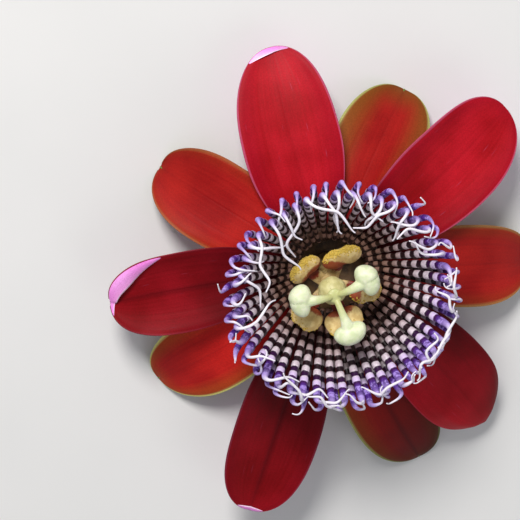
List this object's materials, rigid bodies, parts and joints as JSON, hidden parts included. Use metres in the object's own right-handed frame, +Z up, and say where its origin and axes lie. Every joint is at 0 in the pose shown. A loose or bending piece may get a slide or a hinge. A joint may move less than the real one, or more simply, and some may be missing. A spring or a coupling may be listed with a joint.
{
  "type": "passion flower",
  "caption": "Open passion flower lying face up: crimson sepals and petals in two layers round a bowl of banded, curly-tipped filaments, with stamens and stigmas on a central column.",
  "frame": {"origin": "on the surface the flower lies on, under the middle of its bounding box", "axes": "+Z up along the flower's own axis, out of its open face; +Y towards the gap between the two top blades of the viewed face, along its longest extent"},
  "size_m": [0.1094, 0.1204, 0.0473],
  "materials": {
    "petal_crimson": "satin",
    "sepal_crimson": "satin",
    "leaf_green": "satin",
    "corona_banded": "satin",
    "stamen_column": "satin",
    "pollen": "matte",
    "ovary_green": "satin",
    "stigma_cream": "satin"
  },
  "bodies": {
    "root": {"peduncle": "leaf_green", "calyx_cup": "leaf_green", "bract_1": "leaf_green", "bract_2": "leaf_green", "bract_3": "leaf_green", "sepal_1": "sepal_crimson", "sepal_2": "sepal_crimson", "sepal_3": "sepal_crimson", "sepal_4": "sepal_crimson", "sepal_5": "sepal_crimson", "petal_1": "petal_crimson", "petal_2": "petal_crimson", "petal_3": "petal_crimson", "petal_4": "petal_crimson", "petal_5": "petal_crimson", "corona": "corona_banded", "androgynophore": "stamen_column", "anther_1": "pollen", "anther_2": "pollen", "anther_3": "pollen", "anther_4": "pollen", "anther_5": "pollen", "ovary": "ovary_green", "styles": "stigma_cream"}
  },
  "joints": []
}
